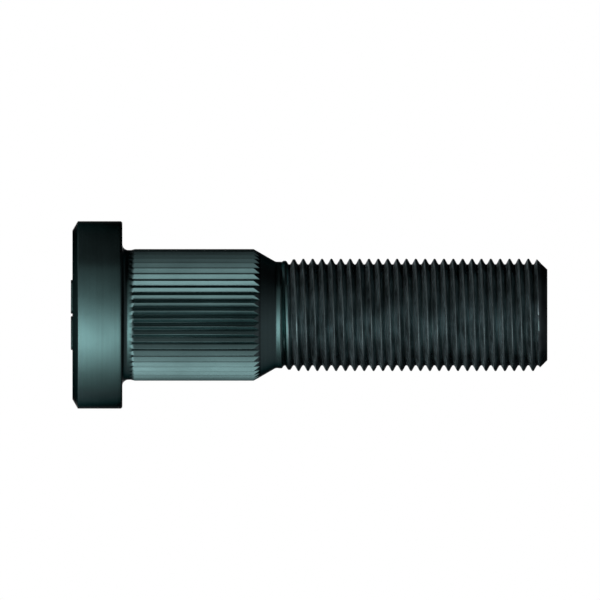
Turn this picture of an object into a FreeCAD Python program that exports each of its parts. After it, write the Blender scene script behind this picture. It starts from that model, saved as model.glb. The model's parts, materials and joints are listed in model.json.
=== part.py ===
import FreeCAD, Part
import math
import os

from FreeCAD import Vector

# Wheel bolt that is pressed into a hub by a serrated shank. All lengths are in millimetres.
# The bolt's axis is Z. The seat under the head is the plane Z = 0 and the threaded end points up.

# Head
head_diameter = 30.0
head_height = 8.0
head_chamfer_width = 1.5
head_chamfer_angle = 30.0
head_rim_radius = 0.35

# Plain raised bars on the outside of the head
bar_count = 2
bar_width = 5.4
bar_length = 11.0
bar_gap = 0.4
bar_height = 0.25
bar_corner_radius = 0.8

# Relief between the head and the serrations
seat_fillet_radius = 0.95
relief_depth = 0.17
relief_length = 1.4

# Serrated shank
shank_diameter = 21.1
shank_length = 21.0
serration_count = 52
serration_depth = 0.55
serration_root_width = 0.06
serration_flank_angle = 45.0
serration_lead_length = 0.6
shank_cone_angle = 30.0

# Threaded end, drawn at the major diameter, with the plain neck below it
thread_diameter = 18.0
thread_pitch = 1.5
thread_run_in_length = 2.9
neck_length = 0.5
bolt_length = 68.0
tip_chamfer = 1.75

# Pitch diameter of a metric thread: the major diameter less this share of the pitch
PITCH_DIAMETER_SHARE = 0.64952

AXIS = Vector(0, 0, 1)
ORIGIN = Vector(0, 0, 0)

shank_radius = shank_diameter / 2
relief_radius = shank_radius - relief_depth
thread_radius = thread_diameter / 2
neck_radius = (thread_diameter - PITCH_DIAMETER_SHARE * thread_pitch) / 2
cone_slope = math.tan(math.radians(shank_cone_angle))
neck_start = shank_length + (shank_radius - neck_radius) / cone_slope
thread_start = neck_start + neck_length


def point(radius, height):
    """Point of a half section, in the XZ plane."""
    return Vector(radius, 0, height)


def on_circle(radius, angle):
    """Point of a cross section, at an angle in radians from X."""
    return Vector(radius * math.cos(angle), radius * math.sin(angle), 0)


def lines(*points):
    """Straight edges from point to point."""
    return [Part.makeLine(a, b) for a, b in zip(points, points[1:])]


def arc(start, middle, end):
    """Arc edge through three points."""
    return Part.Arc(start, middle, end).toShape()


def quarter_round(start, end, centre):
    """Arc of a quarter circle between two points of a half section."""
    radius = (start - centre).Length
    outward = (start - centre) + (end - centre)
    return arc(start, centre + outward.normalize() * radius, end)


def turned(edges):
    """Solid of revolution about the bolt's axis."""
    return Part.Face(Part.Wire(edges)).revolve(ORIGIN, AXIS, 360)


def make_blank():
    """Turned form: head, relief, the core of the shank, neck and threaded end."""
    head_radius = head_diameter / 2
    chamfer_height = head_chamfer_width * math.tan(math.radians(head_chamfer_angle))
    rim_side = point(head_radius, -head_rim_radius)
    rim_top = point(head_radius - head_rim_radius, 0)
    rim_centre = point(head_radius - head_rim_radius, -head_rim_radius)
    fillet_seat = point(relief_radius + seat_fillet_radius, 0)
    fillet_top = point(relief_radius, seat_fillet_radius)
    fillet_centre = point(relief_radius + seat_fillet_radius, seat_fillet_radius)
    head_side = lines(
        point(0, -head_height),
        point(head_radius - head_chamfer_width, -head_height),
        point(head_radius, chamfer_height - head_height),
        rim_side,
    )
    stem_side = lines(
        fillet_top,
        point(relief_radius, relief_length),
        point(neck_radius, relief_length + relief_radius - neck_radius),
        point(neck_radius, thread_start),
        point(thread_radius, thread_start + thread_run_in_length),
        point(thread_radius, bolt_length - tip_chamfer),
        point(thread_radius - tip_chamfer, bolt_length),
        point(0, bolt_length),
        point(0, -head_height),
    )
    rim = quarter_round(rim_side, rim_top, rim_centre)
    fillet = quarter_round(fillet_seat, fillet_top, fillet_centre)
    return turned(head_side + [rim] + lines(rim_top, fillet_seat) + [fillet] + stem_side)


def make_bars():
    """Raised bars side by side on the outside of the head, with rounded corners."""
    spacing = bar_width + bar_gap
    row_width = bar_count * spacing - bar_gap
    half_head = head_height / 2
    bars = []
    for index in range(bar_count):
        corner = Vector(index * spacing - row_width / 2, -bar_length / 2, -head_height - bar_height)
        bar = Part.makeBox(bar_width, bar_length, bar_height + half_head, corner)
        upright = [edge for edge in bar.Edges if edge.Curve.Direction.isParallel(AXIS, 1e-6)]
        bars.append(bar.makeFillet(bar_corner_radius, upright))
    return bars


def serration_section():
    """Cross section of the serrated shank: V grooves with a narrow root."""
    root_radius = shank_radius - serration_depth
    half_root = serration_root_width / 2
    half_mouth = half_root + serration_depth * math.tan(math.radians(serration_flank_angle))
    root_angle = half_root / root_radius
    mouth_angle = half_mouth / shank_radius
    step = 2 * math.pi / serration_count
    edges = []
    for index in range(serration_count):
        groove = index * step
        root_from = on_circle(root_radius, groove - root_angle)
        root_to = on_circle(root_radius, groove + root_angle)
        crest_from = on_circle(shank_radius, groove + mouth_angle)
        crest_to = on_circle(shank_radius, groove + step - mouth_angle)
        next_root = on_circle(root_radius, groove + step - root_angle)
        edges.append(arc(root_from, on_circle(root_radius, groove), root_to))
        edges.append(Part.makeLine(root_to, crest_from))
        edges.append(arc(crest_from, on_circle(shank_radius, groove + step / 2), crest_to))
        edges.append(Part.makeLine(crest_to, next_root))
    return Part.Face(Part.Wire(edges))


def make_shank():
    """Serrated shank, with a lead-in from the relief and a cone that runs into the neck."""
    lead_slope = relief_depth / serration_lead_length
    foot = relief_length / 2
    foot_radius = relief_radius - lead_slope * (relief_length - foot)
    envelope = turned(lines(
        point(0, foot),
        point(foot_radius, foot),
        point(shank_radius, relief_length + serration_lead_length),
        point(shank_radius, shank_length),
        point(neck_radius - cone_slope * neck_length, thread_start),
        point(0, thread_start),
        point(0, foot),
    ))
    bar = serration_section().extrude(AXIS * (thread_start - foot))
    bar.translate(AXIS * foot)
    return bar.common(envelope)


def make_bolt():
    """The whole bolt, in one piece."""
    bolt = make_blank()
    for feature in make_bars() + [make_shank()]:
        bolt = bolt.fuse(feature)
    return bolt.Solids[0]


os.makedirs("parts", exist_ok=True)
make_bolt().exportStep("parts/wheel_bolt.step")
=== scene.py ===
import json
import math

import bmesh
import bpy
from mathutils import Matrix, Vector


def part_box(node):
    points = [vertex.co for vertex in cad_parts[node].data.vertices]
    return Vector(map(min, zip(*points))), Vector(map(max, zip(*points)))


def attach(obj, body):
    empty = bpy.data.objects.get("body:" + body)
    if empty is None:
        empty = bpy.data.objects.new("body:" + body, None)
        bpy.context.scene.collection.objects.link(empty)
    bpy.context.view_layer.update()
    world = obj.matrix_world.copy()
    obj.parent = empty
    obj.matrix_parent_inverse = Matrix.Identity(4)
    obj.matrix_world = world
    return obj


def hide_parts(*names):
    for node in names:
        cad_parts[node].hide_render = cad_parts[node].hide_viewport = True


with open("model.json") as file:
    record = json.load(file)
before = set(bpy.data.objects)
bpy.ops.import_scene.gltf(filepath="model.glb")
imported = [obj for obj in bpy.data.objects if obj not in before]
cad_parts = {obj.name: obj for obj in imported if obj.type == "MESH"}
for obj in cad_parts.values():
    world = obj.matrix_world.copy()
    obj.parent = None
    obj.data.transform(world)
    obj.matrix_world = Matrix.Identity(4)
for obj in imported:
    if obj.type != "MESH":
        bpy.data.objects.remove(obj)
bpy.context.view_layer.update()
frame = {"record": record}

# Sizes are in millimetres and the mesh is scaled to metres when it is made.
MM = 0.001
NODE = "wheel_bolt"
MOUNTS = {mount["name"]: mount for mount in frame["record"]["mounts"]}

# Sizes that the frame gives
NODE_LOW, NODE_HIGH = (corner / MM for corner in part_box(NODE))
HEAD_RADIUS = min(NODE_HIGH.x, NODE_HIGH.y, -NODE_LOW.x, -NODE_LOW.y)
FOOT_Z = NODE_LOW.z
TIP_Z = NODE_HIGH.z
SHANK_RADIUS = MOUNTS["serrated_shank"]["dims"]["r_mm"]
SHANK_HALF_LENGTH = MOUNTS["serrated_shank"]["dims"]["length_mm"] / 2
SHANK_MIDDLE_Z = MOUNTS["serrated_shank"]["pos_m"][2] / MM
SHANK_END_Z = SHANK_MIDDLE_Z + SHANK_HALF_LENGTH
LEAD_END_Z = SHANK_MIDDLE_Z - SHANK_HALF_LENGTH
THREAD_RADIUS = MOUNTS["thread"]["dims"]["r_mm"]

# Head
BAR_HEIGHT = 0.25
BAR_WIDTH = 5.4
BAR_LENGTH = 11.0
BAR_GAP = 0.4
BAR_CORNER = 0.8
BAR_CORNER_STEPS = 5
BAR_EDGE = 0.08
HEAD_FACE_Z = FOOT_Z + BAR_HEIGHT
CHAMFER_WIDTH = 1.5
CHAMFER_ANGLE = math.radians(30)
RIM_RADIUS = 0.35
RIM_STEPS = 6
EDGE_RADIUS = 0.12
EDGE_STEPS = 3

# How far past the last groove a plain ring lies
RING_MARGIN = 0.1

# Relief and serrations
FILLET_RADIUS = 0.95
FILLET_STEPS = 8
RELIEF_DEPTH = 0.17
RELIEF_RADIUS = SHANK_RADIUS - RELIEF_DEPTH
RELIEF_END_Z = 1.4
SERRATIONS = 52
SERRATION_DEPTH = 0.55
SERRATION_ROOT_RADIUS = SHANK_RADIUS - SERRATION_DEPTH
SERRATION_ROOT_WIDTH = 0.04
SERRATION_LAND = 0.02
SERRATION_EDGE = 0.012
CONE_SLOPE = math.tan(math.radians(30))
CONE_START_RADIUS = SERRATION_ROOT_RADIUS - RING_MARGIN

# Thread, with the neck that it starts from. Its shares of the pitch are those of a metric thread.
PITCH = 1.5
FLANK_SLOPE = math.tan(math.radians(30))
CREST_WIDTH = PITCH / 8
CREST_ROUND = 0.2
CREST_ANGLES = (math.radians(25), math.radians(60))
ROOT_ROUND = 0.1443 * PITCH
ROOT_ANGLES = (math.radians(60), math.radians(30))
THREAD_DEPTH = 0.61343 * PITCH
THREAD_ROOT_RADIUS = THREAD_RADIUS - THREAD_DEPTH
NECK_RADIUS = THREAD_RADIUS - 0.32476 * PITCH
NECK_FILLET = 0.9
NECK_STEPS = 4
SHOULDER_Z = 25.35
SHOULDER_FALL = math.tan(math.radians(35))
RUN_IN_START_Z = 24.95
RUN_IN_LENGTH = 3.1
CREST_PHASE_Z = 1.2
TIP_CHAMFER = 1.75
TIP_RADIUS = THREAD_RADIUS - TIP_CHAMFER
THREAD_END_Z = TIP_Z - TIP_CHAMFER + THREAD_DEPTH + RING_MARGIN

# Columns around the bolt. Each serration has eight, and the rest of the bolt half as many.
TOOTH_COLUMNS = 8
COLUMNS = SERRATIONS * TOOTH_COLUMNS // 2

# Finish. Grain is in waves per millimetre along each axis, and contrast in shares of the colour.
TEAL_OXIDE = (0.088, 0.146, 0.146)
TURNED_OXIDE = (0.0836, 0.1387, 0.1387)
SERRATED_OXIDE = (0.098, 0.146, 0.148)
THREAD_OXIDE = (0.1, 0.128, 0.133)
# Painted light: brighter, more metallic steel on the thread's flanks that face down towards the head, as
# if lit from the floor below.
LIT_FLANK_PAINT = (0.46, 0.575, 0.6)
SATIN_ROUGHNESS = 0.25
DULL_ROUGHNESS = 0.34
LIT_FLANK_METAL = 0.92
TURNED_GRAIN = (0.05, 0.05, 3.0)
TURNED_CONTRAST = 0.06
SERRATED_GRAIN = (1.5, 1.5, 0.05)
SERRATED_CONTRAST = 0.08
THREAD_GRAIN = (0.22, 0.22, 0.5)
THREAD_CONTRAST = 0.45
LIT_FLANK_GRAIN = (0.3, 0.3, 0.6)
LIT_FLANK_CONTRAST = 0.6
GRAIN_DETAIL = 4.0
MOTTLE_GRAIN = (0.14, 0.14, 0.14)
MOTTLE_DETAIL = 3.0
MOTTLE_RANGE = (0.88, 1.1)
SPECKLE_GRAIN = (5.0, 5.0, 5.0)
SPECKLE_DETAIL = 2.0
SPECKLE_RANGE = (0.92, 1.08)
SPECKLE_BUMP = 0.4
BUMP_STRENGTH = 0.5
BUMP_DISTANCE = 0.004 * MM
NOISE_RANGE = (0.3, 0.7)
EDGE_TINT = (0.2, 0.2, 0.2, 1)
SHARP_ANGLE = math.radians(38)

# Painted light and shade: how the colour fades along the head and darkens into the grooves
HEAD_FACE_PAINTED_LIGHT = 1.38
HEAD_SEAT_PAINTED_SHADE = 0.78
HEAD_RIM_PAINTED_SHADE = 0.5
SERRATION_FADE_DEPTH = 0.14
SERRATION_ROOT_PAINTED_SHADE = 0.5
THREAD_FADE_DEPTH = 0.4
THREAD_ROOT_PAINTED_SHADE = 0.4
# Painted shade in the roots of the flanks with painted light, and how far down a flank must face to get
# that painted light
LIT_FLANK_FADE_DEPTH = 0.3
LIT_FLANK_ROOT_PAINTED_SHADE = 0.75
LIT_FLANK_TILT = -0.3

# Stage and lights, in metres
FLOOR_SIZE = 0.8
FLOOR_COLOUR = (0.7, 0.7, 0.7, 1)
FLOOR_ROUGHNESS = 0.12
BACKDROP_SIZE = 0.14
BACKDROP_DISTANCE = 0.6
SOFTBOX_COLUMNS = 64
SOFTBOX_DISTANCE = 0.42
SOFTBOX_LOW = FOOT_Z * MM
SOFTBOX_HIGH = 0.14
SOFTBOX_FROM = math.radians(-62)
SOFTBOX_TO = math.radians(106)
SOFTBOX_CENTRE = math.radians(29)
SOFTBOX_SPREAD = math.radians(48)
SOFTBOX_FALL = -2.0
SOFTBOX_STRENGTH = 2.8
SOFTBOX_COLOUR = (0.86, 1.0, 1.0, 1)
ROOM_DARK = 0.001
ROOM_LIGHT = 0.215
ROOM_DARK_X = -0.8
ROOM_LIGHT_X = 0.2
ROOM_COLOUR = (1.0, 0.94, 1.0, 1)
TOP_STRENGTH = 0.9
TOP_ANGLE = math.radians(6)
TOP_HEIGHT = 0.5

# Camera, in metres. One pixel of the picture shows a fixed size of the bolt.
VIEW_CENTRE = Vector((-2.384, 0, 28.42)) * MM
PICTURE_PIXELS = 600
PIXEL_SIZE = 0.16 * MM
CAMERA_DISTANCE = 0.5


class Skin:
    """Vertices and faces of one closed surface, built ring by ring along the bolt."""

    def __init__(self):
        self.points = []
        self.faces = []

    def add(self, radius, angle, z):
        """New point around the axis. Returns its index."""
        self.points.append((radius * math.cos(angle), radius * math.sin(angle), z))
        return len(self.points) - 1

    def ring(self, radius, z):
        """Flat ring of new points. Returns their indices."""
        return [self.add(radius, 2 * math.pi * i / COLUMNS, z) for i in range(COLUMNS)]

    def bridge(self, below, above):
        """Faces between two rings, of equal counts or with one twice as fine as the other."""
        if len(below) == len(above):
            for i in range(len(below)):
                j = (i + 1) % len(below)
                self.faces.append((below[i], below[j], above[j], above[i]))
            return
        fine, coarse = (below, above) if len(below) > len(above) else (above, below)
        flip = fine is above
        for i in range(len(coarse)):
            j = (i + 1) % len(coarse)
            a, b, c = fine[2 * i], fine[2 * i + 1], fine[(2 * i + 2) % len(fine)]
            for face in ((a, b, coarse[i]), (b, coarse[j], coarse[i]), (b, c, coarse[j])):
                self.faces.append(face[::-1] if flip else face)

    def stack(self, start, profile):
        """Rings along a half section of (radius, z) points, joined to a first ring."""
        last = start
        for radius, z in profile:
            ring = self.ring(radius, z)
            self.bridge(last, ring)
            last = ring
        return last


def rounded(before, corner, after, radius, steps):
    """Points of a half section that round a corner between two straight runs."""
    corner = Vector(corner)
    to_before = (Vector(before) - corner).normalized()
    to_after = (Vector(after) - corner).normalized()
    half_angle = to_before.angle(to_after) / 2
    reach = radius / math.tan(half_angle)
    centre = corner + (to_before + to_after).normalized() * (radius / math.sin(half_angle))
    first = corner + to_before * reach - centre
    last = corner + to_after * reach - centre
    sweep = first.angle(last)
    points = []
    for step in range(steps + 1):
        share = step / steps
        mixed = first * math.sin((1 - share) * sweep) + last * math.sin(share * sweep)
        points.append(tuple(centre + mixed / math.sin(sweep)))
    return points


def head_profile():
    """Half section from the edge of the head's face to the relief."""
    face_edge = (HEAD_RADIUS - CHAMFER_WIDTH, HEAD_FACE_Z)
    side_edge = (HEAD_RADIUS, HEAD_FACE_Z + CHAMFER_WIDTH * math.tan(CHAMFER_ANGLE))
    rim = (HEAD_RADIUS, 0.0)
    seat_corner = (RELIEF_RADIUS, 0.0)
    relief_end = (RELIEF_RADIUS, RELIEF_END_Z)
    points = rounded((0.0, HEAD_FACE_Z), face_edge, side_edge, EDGE_RADIUS, EDGE_STEPS)
    points += rounded(face_edge, side_edge, rim, EDGE_RADIUS, EDGE_STEPS)
    points += rounded(side_edge, rim, seat_corner, RIM_RADIUS, RIM_STEPS)
    points += rounded(rim, seat_corner, relief_end, FILLET_RADIUS, FILLET_STEPS)
    return points


def bar_outline(centre_x, inset):
    """Rounded rectangle of one raised bar, seen along the axis."""
    half_width = BAR_WIDTH / 2 - BAR_CORNER
    half_length = BAR_LENGTH / 2 - BAR_CORNER
    points = []
    for quarter, (sign_x, sign_y) in enumerate(((1, 1), (-1, 1), (-1, -1), (1, -1))):
        for step in range(BAR_CORNER_STEPS + 1):
            angle = math.radians(90) * (quarter + step / BAR_CORNER_STEPS)
            x = centre_x + sign_x * half_width + (BAR_CORNER - inset) * math.cos(angle)
            y = sign_y * half_length + (BAR_CORNER - inset) * math.sin(angle)
            points.append((x, y))
    return points


def add_bars(skin):
    """Raised bars on the head's face. Returns the outlines where they meet the face."""
    outlines = []
    for side in (-1, 1):
        centre_x = side * (BAR_WIDTH + BAR_GAP) / 2
        loops = []
        for inset, z in ((0.0, HEAD_FACE_Z), (0.0, FOOT_Z + BAR_EDGE), (BAR_EDGE, FOOT_Z)):
            first = len(skin.points)
            outline = bar_outline(centre_x, inset)
            skin.points.extend((x, y, z) for x, y in outline)
            loops.append(list(range(first, first + len(outline))))
        for above, below in zip(loops, loops[1:]):
            skin.bridge(below, above)
        skin.faces.append(tuple(reversed(loops[-1])))
        outlines.append(loops[0])
    return outlines


def tooth_columns():
    """Angle and radius of each column around the serrated shank, groove by groove."""
    step = 2 * math.pi / SERRATIONS
    root = SERRATION_ROOT_WIDTH / 2 / SERRATION_ROOT_RADIUS
    land = step / 2 - SERRATION_LAND / 2 / SHANK_RADIUS
    edge = land - 2 * SERRATION_EDGE / SHANK_RADIUS
    edge_radius = SHANK_RADIUS - SERRATION_EDGE
    one_tooth = (
        (0.0, SERRATION_ROOT_RADIUS),
        (root, SERRATION_ROOT_RADIUS),
        (edge, edge_radius),
        (land, SHANK_RADIUS),
        (step / 2, SHANK_RADIUS),
        (step - land, SHANK_RADIUS),
        (step - edge, edge_radius),
        (step - root, SERRATION_ROOT_RADIUS),
    )
    starts = [tooth * step for tooth in range(SERRATIONS)]
    return [(start + angle, radius) for start in starts for angle, radius in one_tooth]


def cone_height(radius):
    """Height at which the cone above the shank has a radius."""
    return SHANK_END_Z + (SHANK_RADIUS - radius) / CONE_SLOPE


def lead_height(radius):
    """Height at which a serration's column leaves the relief, up to a crest or down to a root."""
    if radius > RELIEF_RADIUS:
        share = (radius - RELIEF_RADIUS) / (SHANK_RADIUS - RELIEF_RADIUS)
        return RELIEF_END_Z + share * (LEAD_END_Z - RELIEF_END_Z)
    return RELIEF_END_Z + RELIEF_RADIUS - radius


def add_serrations(skin, start):
    """Serrated shank from the end of the relief to the cone. Returns its last ring."""
    columns = tooth_columns()
    relief_end = [skin.add(RELIEF_RADIUS, angle, RELIEF_END_Z) for angle, _ in columns]
    lead = [skin.add(radius, angle, lead_height(radius)) for angle, radius in columns]
    end = [skin.add(radius, angle, cone_height(radius)) for angle, radius in columns]
    cone_z = cone_height(CONE_START_RADIUS)
    cone = [skin.add(CONE_START_RADIUS, angle, cone_z) for angle, _ in columns]
    for below, above in ((start, relief_end), (relief_end, lead), (lead, end), (end, cone)):
        skin.bridge(below, above)
    return cone


def thread_section():
    """One pitch of the thread: (height above the crest's middle, radius), from crest to crest."""
    half_pitch = PITCH / 2
    up = [(0.0, THREAD_RADIUS)]
    for angle in CREST_ANGLES:
        height = CREST_ROUND * math.sin(angle)
        up.append((height, THREAD_RADIUS - CREST_ROUND * (1 - math.cos(angle))))
    mid_flank = CREST_WIDTH / 2 + THREAD_DEPTH / 2 * FLANK_SLOPE
    up.append((mid_flank, THREAD_RADIUS - THREAD_DEPTH / 2))
    for angle in ROOT_ANGLES:
        height = half_pitch - ROOT_ROUND * math.sin(angle)
        up.append((height, THREAD_ROOT_RADIUS + ROOT_ROUND * (1 - math.cos(angle))))
    down = [(PITCH - height, radius) for height, radius in reversed(up[1:])]
    return up + [(half_pitch, THREAD_ROOT_RADIUS)] + down


def stem_radius(radius, z, crest_z):
    """Radius of a thread row at a height, held by the run-in, the shoulder and the tip's chamfer."""
    run_in_share = (crest_z - RUN_IN_START_Z) / RUN_IN_LENGTH
    run_in = NECK_RADIUS + (THREAD_RADIUS - NECK_RADIUS) * run_in_share
    chamfer = TIP_RADIUS + TIP_Z - z
    shoulder = NECK_RADIUS - (z - SHOULDER_Z) * SHOULDER_FALL
    return max(min(radius, run_in, chamfer), min(NECK_RADIUS, shoulder, chamfer))


def add_thread(skin, start):
    """Thread whose rows follow the helix between two flat rings. Returns the last ring."""
    section = thread_section()
    first_turn = math.floor((RUN_IN_START_Z - CREST_PHASE_Z) / PITCH) - 1
    last_turn = math.ceil((THREAD_END_Z - CREST_PHASE_Z) / PITCH) + 1
    rows = [
        (CREST_PHASE_Z + turn * PITCH + height, radius, PITCH * round(height / PITCH) - height)
        for turn in range(first_turn, last_turn)
        for height, radius in section
    ]
    end = skin.ring(stem_radius(THREAD_RADIUS, THREAD_END_Z, THREAD_END_Z), THREAD_END_Z)
    made = {}

    def vertex(row, column):
        turn, column = divmod(column, COLUMNS)
        row += turn * len(section)
        if row >= len(rows):
            return end[column]
        height, radius, to_crest = rows[row]
        z = height + PITCH * column / COLUMNS
        if z <= RUN_IN_START_Z:
            return start[column]
        if z >= THREAD_END_Z:
            return end[column]
        if (row, column) not in made:
            angle = 2 * math.pi * column / COLUMNS
            made[row, column] = skin.add(stem_radius(radius, z, z + to_crest), angle, z)
        return made[row, column]

    for row in range(len(rows) - 1):
        for column in range(COLUMNS):
            corners = [
                vertex(row, column),
                vertex(row, column + 1),
                vertex(row + 1, column + 1),
                vertex(row + 1, column),
            ]
            face = list(dict.fromkeys(corners))
            if len(face) > 2:
                skin.faces.append(tuple(face))
    return end


def neck_profile():
    """Half section from the cone, around the neck's fillet, to the start of the thread."""
    corner_z = cone_height(NECK_RADIUS)
    on_cone = (NECK_RADIUS + 1, cone_height(NECK_RADIUS + 1))
    on_neck = (NECK_RADIUS, corner_z + 1)
    fillet = rounded(on_cone, (NECK_RADIUS, corner_z), on_neck, NECK_FILLET, NECK_STEPS)
    return fillet + [(NECK_RADIUS, RUN_IN_START_Z)]


def tip_profile():
    """Half section that rounds the edge between the tip's chamfer and its face."""
    on_chamfer = (TIP_RADIUS + 1, TIP_Z - 1)
    return rounded(on_chamfer, (TIP_RADIUS, TIP_Z), (0.0, TIP_Z), EDGE_RADIUS, EDGE_STEPS)


def build_bolt():
    """Mesh of the whole bolt, as one closed skin."""
    skin = Skin()
    head = head_profile()
    face_ring = skin.ring(*head[0])
    bar_loops = add_bars(skin)
    relief = skin.stack(face_ring, head[1:])
    cone = add_serrations(skin, relief)
    neck = skin.stack(cone, neck_profile())
    thread_end = add_thread(skin, neck)
    tip = skin.stack(thread_end, tip_profile())
    skin.faces.append(tuple(tip))

    mesh = bpy.data.meshes.new("bolt_skin")
    mesh.from_pydata([tuple(c * MM for c in point) for point in skin.points], [], skin.faces)
    fill_head_face(mesh, [face_ring] + bar_loops)
    return mesh


def fill_head_face(mesh, loops):
    """Closes the head's face between its edge and the raised bars."""
    work = bmesh.new()
    work.from_mesh(mesh)
    work.verts.ensure_lookup_table()
    edges = []
    for loop in loops:
        for i in range(len(loop)):
            pair = (work.verts[loop[i - 1]], work.verts[loop[i]])
            edges.append(work.edges.get(pair))
    bmesh.ops.triangle_fill(work, use_beauty=True, edges=edges, normal=(0, 0, -1))
    bmesh.ops.recalc_face_normals(work, faces=work.faces)
    work.to_mesh(mesh)
    work.free()


def math_node(tree, operation, *values):
    """Math node on sockets or plain numbers. Returns its result."""
    node = tree.nodes.new("ShaderNodeMath")
    node.operation = operation
    for socket, value in zip(node.inputs, values):
        if isinstance(value, (int, float)):
            socket.default_value = value
        else:
            tree.links.new(value, socket)
    return node.outputs["Value"]


def level(tree, value, low, high, to_low, to_high):
    """A value moved from one range to another, held inside it."""
    node = tree.nodes.new("ShaderNodeMapRange")
    limits = (("From Min", low), ("From Max", high), ("To Min", to_low), ("To Max", to_high))
    for name, number in limits:
        node.inputs[name].default_value = number
    tree.links.new(value, node.inputs["Value"])
    return node.outputs["Result"]


def noise(tree, per_mm, detail):
    """Noise in the bolt's own space, with a number of waves per millimetre along each axis."""
    place = tree.nodes.new("ShaderNodeTexCoord")
    mapping = tree.nodes.new("ShaderNodeMapping")
    mapping.inputs["Scale"].default_value = [waves / MM for waves in per_mm]
    texture = tree.nodes.new("ShaderNodeTexNoise")
    texture.inputs["Scale"].default_value = 1.0
    texture.inputs["Detail"].default_value = detail
    tree.links.new(place.outputs["Object"], mapping.inputs["Vector"])
    tree.links.new(mapping.outputs["Vector"], texture.inputs["Vector"])
    return texture.outputs["Fac"]


def painted_head_light_and_shade(tree):
    """Painted light and shade on the head: lighter towards its outer face, darker towards its seat and
    dark at its rim.
    """
    place = tree.nodes.new("ShaderNodeTexCoord")
    split = tree.nodes.new("ShaderNodeSeparateXYZ")
    tree.links.new(place.outputs["Object"], split.inputs["Vector"])
    height = split.outputs["Z"]
    side = level(tree, height, HEAD_FACE_Z * MM, 0.0, HEAD_FACE_PAINTED_LIGHT, HEAD_SEAT_PAINTED_SHADE)
    rim = level(tree, height, -2 * RIM_RADIUS * MM, 0.0, 1.0, HEAD_RIM_PAINTED_SHADE)
    return math_node(tree, "MULTIPLY", side, rim)


def painted_groove_shade(root_radius, depth, darkest):
    """Painted shade: grooves are darker towards their roots."""
    def fade(tree):
        place = tree.nodes.new("ShaderNodeTexCoord")
        flat = tree.nodes.new("ShaderNodeVectorMath")
        flat.operation = "MULTIPLY"
        flat.inputs[1].default_value = (1 / MM, 1 / MM, 0)
        reach = tree.nodes.new("ShaderNodeVectorMath")
        reach.operation = "LENGTH"
        tree.links.new(place.outputs["Object"], flat.inputs[0])
        tree.links.new(flat.outputs["Vector"], reach.inputs[0])
        return level(tree, reach.outputs["Value"], root_radius, root_radius + depth, darkest, 1.0)
    return fade


def oxide_material(name, colour, roughness, grain, contrast, fade, metallic=1.0):
    """Black oxide on steel: mottled colour, a grain that follows the working, and the painted light and
    shade of a fade, such as dark hollows.
    """
    material = bpy.data.materials.new(name)
    material.use_nodes = True
    tree = material.node_tree
    shader = tree.nodes["Principled BSDF"]
    shader.inputs["Metallic"].default_value = metallic
    shader.inputs["Specular Tint"].default_value = EDGE_TINT

    mottle = noise(tree, MOTTLE_GRAIN, MOTTLE_DETAIL)
    lines = noise(tree, grain, GRAIN_DETAIL)
    speckle = noise(tree, SPECKLE_GRAIN, SPECKLE_DETAIL)
    mottle_shade = level(tree, mottle, *NOISE_RANGE, *MOTTLE_RANGE)
    line_shade = level(tree, lines, *NOISE_RANGE, 1 - contrast, 1 + contrast)
    shade = math_node(tree, "MULTIPLY", mottle_shade, line_shade)
    if fade:
        shade = math_node(tree, "MULTIPLY", shade, fade(tree))

    tint = tree.nodes.new("ShaderNodeVectorMath")
    tint.operation = "SCALE"
    tint.inputs["Vector"].default_value = colour
    tree.links.new(shade, tint.inputs["Scale"])
    tree.links.new(tint.outputs["Vector"], shader.inputs["Base Color"])

    speckle_shade = level(tree, speckle, *NOISE_RANGE, *SPECKLE_RANGE)
    rough = math_node(tree, "MULTIPLY", speckle_shade, roughness)
    tree.links.new(rough, shader.inputs["Roughness"])

    bump = tree.nodes.new("ShaderNodeBump")
    bump.inputs["Strength"].default_value = BUMP_STRENGTH
    bump.inputs["Distance"].default_value = BUMP_DISTANCE
    height = math_node(tree, "MULTIPLY_ADD", speckle, SPECKLE_BUMP, lines)
    tree.links.new(height, bump.inputs["Height"])
    tree.links.new(bump.outputs["Normal"], shader.inputs["Normal"])
    return material


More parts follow.
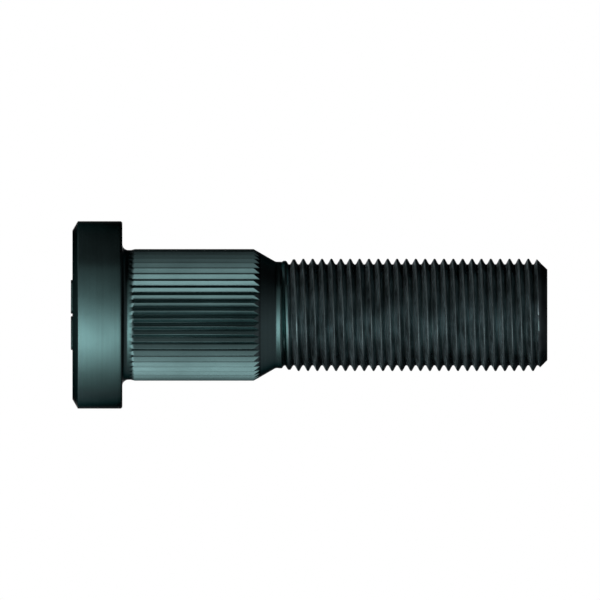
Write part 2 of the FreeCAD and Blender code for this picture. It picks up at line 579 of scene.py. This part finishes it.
def add_materials(mesh):
    """One finish for each stretch of the bolt, by the height of the faces, and one with painted light for
    the thread's flanks that face down towards the head.
    """
    # Painted shade: the serrations and the thread darken towards their roots.
    tooth_fade = painted_groove_shade(SERRATION_ROOT_RADIUS, SERRATION_FADE_DEPTH, SERRATION_ROOT_PAINTED_SHADE)
    thread_fade = painted_groove_shade(THREAD_ROOT_RADIUS, THREAD_FADE_DEPTH, THREAD_ROOT_PAINTED_SHADE)
    lit_flank_fade = painted_groove_shade(THREAD_ROOT_RADIUS, LIT_FLANK_FADE_DEPTH, LIT_FLANK_ROOT_PAINTED_SHADE)
    finishes = (
        # Painted light on the head's outer face and painted shade at its seat and rim.
        ("head_oxide", TEAL_OXIDE, SATIN_ROUGHNESS, TURNED_GRAIN, TURNED_CONTRAST, painted_head_light_and_shade),
        ("turned_oxide", TURNED_OXIDE, SATIN_ROUGHNESS, TURNED_GRAIN, TURNED_CONTRAST, None),
        ("serrated_oxide", SERRATED_OXIDE, SATIN_ROUGHNESS, SERRATED_GRAIN, SERRATED_CONTRAST, tooth_fade),
        ("threaded_oxide", THREAD_OXIDE, DULL_ROUGHNESS, THREAD_GRAIN, THREAD_CONTRAST, thread_fade),
        # Painted light on the thread's flanks that face the head, with painted shade in their roots.
        ("worn_flank_oxide", LIT_FLANK_PAINT, DULL_ROUGHNESS, LIT_FLANK_GRAIN, LIT_FLANK_CONTRAST, lit_flank_fade, LIT_FLANK_METAL),
    )
    for finish in finishes:
        mesh.materials.append(oxide_material(*finish))
    head, turned, serrated, threaded, lit_flank = range(len(finishes))
    stretches = (head, turned, serrated, turned, threaded)
    ends = (0.0, RELIEF_END_Z, cone_height(SERRATION_ROOT_RADIUS), RUN_IN_START_Z + PITCH)
    crest_foot = THREAD_RADIUS - CREST_ROUND / 2
    for face in mesh.polygons:
        finish = stretches[sum(face.center.z / MM > end for end in ends)]
        # Thread flanks that face down towards the head get the painted light.
        on_flank = face.normal.z < LIT_FLANK_TILT and face.center.xy.length / MM < crest_foot
        face.material_index = lit_flank if finish == threaded and on_flank else finish


def add_bolt():
    """The bolt in place of its solid, with the flanks of its serrations shaded flat."""
    mesh = build_bolt()
    add_materials(mesh)
    mesh.shade_smooth()
    mesh.set_sharp_from_angle(angle=SHARP_ANGLE)
    bolt = bpy.data.objects.new("bolt", mesh)
    bpy.context.scene.collection.objects.link(bolt)
    weighted = bolt.modifiers.new("flat_flanks", "WEIGHTED_NORMAL")
    weighted.keep_sharp = True
    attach(bolt, "root")
    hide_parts(NODE)


def add_plane(name, centre, normal, size, material):
    """Square stage plane that faces along a normal."""
    half = size / 2
    corners = [(-half, -half, 0), (half, -half, 0), (half, half, 0), (-half, half, 0)]
    mesh = bpy.data.meshes.new(name)
    mesh.from_pydata(corners, [], [(0, 1, 2, 3)])
    mesh.materials.append(material)
    plane = bpy.data.objects.new(name, mesh)
    plane.location = centre
    plane.rotation_euler = Vector(normal).to_track_quat("Z", "Y").to_euler()
    bpy.context.scene.collection.objects.link(plane)
    return plane


def emission_material(name):
    """Material that only shines. Returns it with its node tree and its emission node."""
    material = bpy.data.materials.new(name)
    material.use_nodes = True
    tree = material.node_tree
    tree.nodes.remove(tree.nodes["Principled BSDF"])
    emission = tree.nodes.new("ShaderNodeEmission")
    output = tree.nodes["Material Output"]
    tree.links.new(emission.outputs["Emission"], output.inputs["Surface"])
    return material, tree, emission


def add_floor():
    """Pale floor under the bolt's head."""
    material = bpy.data.materials.new("pale_floor")
    material.use_nodes = True
    shader = material.node_tree.nodes["Principled BSDF"]
    shader.inputs["Base Color"].default_value = FLOOR_COLOUR
    shader.inputs["Roughness"].default_value = FLOOR_ROUGHNESS
    return add_plane("floor", (0, 0, FOOT_Z * MM), (0, 0, 1), FLOOR_SIZE, material)


def add_backdrop():
    """White panel behind the bolt, just larger than the picture."""
    material, _, emission = emission_material("white_backdrop")
    emission.inputs["Strength"].default_value = 1.0
    centre = (VIEW_CENTRE.x, BACKDROP_DISTANCE, VIEW_CENTRE.z)
    add_plane("backdrop", centre, (0, -1, 0), BACKDROP_SIZE, material)


def softbox_material():
    """Light that falls off like a bell curve around the softbox."""
    material, tree, emission = emission_material("softbox_light")
    place = tree.nodes.new("ShaderNodeNewGeometry")
    split = tree.nodes.new("ShaderNodeSeparateXYZ")
    tree.links.new(place.outputs["Position"], split.inputs["Vector"])
    front = math_node(tree, "MULTIPLY", split.outputs["Y"], -1.0)
    angle = math_node(tree, "ARCTAN2", split.outputs["X"], front)
    offset = math_node(tree, "SUBTRACT", angle, SOFTBOX_CENTRE)
    share = math_node(tree, "DIVIDE", offset, SOFTBOX_SPREAD)
    spread = math_node(tree, "MULTIPLY_ADD", share, share, 1.0)
    bell = math_node(tree, "POWER", spread, SOFTBOX_FALL)
    strength = math_node(tree, "MULTIPLY", bell, SOFTBOX_STRENGTH)
    emission.inputs["Color"].default_value = SOFTBOX_COLOUR
    tree.links.new(strength, emission.inputs["Strength"])
    return material


def add_softbox():
    """Curved strip of light around the bolt, brightest to the right of the camera."""
    points = []
    for i in range(SOFTBOX_COLUMNS + 1):
        angle = SOFTBOX_FROM + (SOFTBOX_TO - SOFTBOX_FROM) * i / SOFTBOX_COLUMNS
        x = SOFTBOX_DISTANCE * math.sin(angle)
        y = -SOFTBOX_DISTANCE * math.cos(angle)
        points += [(x, y, SOFTBOX_LOW), (x, y, SOFTBOX_HIGH)]
    faces = [(i, i + 1, i + 3, i + 2) for i in range(0, 2 * SOFTBOX_COLUMNS, 2)]
    mesh = bpy.data.meshes.new("softbox")
    mesh.from_pydata(points, [], faces)
    mesh.materials.append(softbox_material())
    softbox = bpy.data.objects.new("softbox", mesh)
    bpy.context.scene.collection.objects.link(softbox)
    softbox.visible_camera = False


def add_world():
    """Dim room that is lighter on the softbox's side."""
    world = bpy.data.worlds.new("studio")
    world.use_nodes = True
    tree = world.node_tree
    direction = tree.nodes.new("ShaderNodeTexCoord")
    split = tree.nodes.new("ShaderNodeSeparateXYZ")
    tree.links.new(direction.outputs["Generated"], split.inputs["Vector"])
    ramp = level(tree, split.outputs["X"], ROOM_DARK_X, ROOM_LIGHT_X, ROOM_DARK, ROOM_LIGHT)
    background = tree.nodes["Background"]
    background.inputs["Color"].default_value = ROOM_COLOUR
    tree.links.new(ramp, background.inputs["Strength"])
    bpy.context.scene.world = world


def add_top_light(floor):
    """Light from straight above that only the floor receives, with the bolt's shadow in it."""
    data = bpy.data.lights.new("top", "SUN")
    data.energy = TOP_STRENGTH
    data.angle = TOP_ANGLE
    light = bpy.data.objects.new("top", data)
    light.location = (0, 0, TOP_HEIGHT)
    bpy.context.scene.collection.objects.link(light)
    lit = bpy.data.collections.new("lit_from_above")
    lit.objects.link(floor)
    light.light_linking.receiver_collection = lit


def add_camera():
    """Camera in front of the bolt, rolled so that the head is on the left of the picture."""
    data = bpy.data.cameras.new("camera")
    data.type = "ORTHO"
    data.ortho_scale = PICTURE_PIXELS * PIXEL_SIZE
    camera = bpy.data.objects.new("camera", data)
    right = Vector((0, 0, 1))
    up = Vector((-1, 0, 0))
    back = Vector((0, -1, 0))
    turn = Matrix((right, up, back)).transposed().to_4x4()
    camera.matrix_world = Matrix.Translation(VIEW_CENTRE + back * CAMERA_DISTANCE) @ turn
    bpy.context.scene.collection.objects.link(camera)
    bpy.context.scene.camera = camera


bpy.context.scene.view_settings.view_transform = "Standard"
add_bolt()
add_backdrop()
add_world()
add_softbox()
add_top_light(add_floor())
add_camera()
